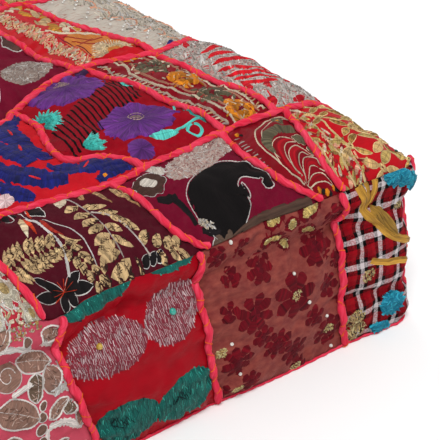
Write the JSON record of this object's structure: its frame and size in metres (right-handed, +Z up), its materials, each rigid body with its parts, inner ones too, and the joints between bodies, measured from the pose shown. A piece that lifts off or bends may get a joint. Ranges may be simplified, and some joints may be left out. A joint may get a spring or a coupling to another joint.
{
  "type": "floor pouf",
  "caption": "Square filled floor pouf with a crowned patchwork top, boxed walls under a rolled edge, soft corner ears and round cords sewn over the joins of its patches.",
  "frame": {"origin": "centre of the foot, on the floor", "axes": "+Z up through the crown; the wall that faces -Y and the corner at +X -Y are the ones best seen in the source"},
  "size_m": [0.5241, 0.5229, 0.1659],
  "materials": {
    "cover": "patchwork of matt and satin cloths in reds, wine and maroon with thread and metallic embroidery",
    "cord": "soft matt pink-red cotton cord, held down with orange stitches"
  },
  "bodies": {
    "root": {"cord_back_a": "cord", "cord_back_b": "cord", "cord_back_c": "cord", "cord_back_d": "cord", "cord_back_row": "cord", "cord_front_a": "cord", "cord_front_b": "cord", "cord_front_c": "cord", "cord_front_d": "cord", "cord_front_row": "cord", "cord_left_a": "cord", "cord_left_b": "cord", "cord_left_c": "cord", "cord_left_d": "cord", "cord_r1_a": "cord", "cord_r1_b": "cord", "cord_r1_c": "cord", "cord_r1_d": "cord", "cord_r1_e": "cord", "cord_r2_a": "cord", "cord_r2_b": "cord", "cord_r2_c": "cord", "cord_r2_d": "cord", "cord_r2_e": "cord", "cord_r3_a": "cord", "cord_r3_b": "cord", "cord_r3_c": "cord", "cord_r3_d": "cord", "cord_r3_e": "cord", "cord_r4_a": "cord", "cord_r4_b": "cord", "cord_r4_c": "cord", "cord_r4_d": "cord", "cord_r5_a": "cord", "cord_r5_b": "cord", "cord_r5_c": "cord", "cord_r5_d": "cord", "cord_right_a": "cord", "cord_right_b": "cord", "cord_right_c": "cord", "cord_right_d": "cord", "cord_second_row": "cord", "cord_third_row": "cord", "cushion": "cover"}
  },
  "joints": []
}
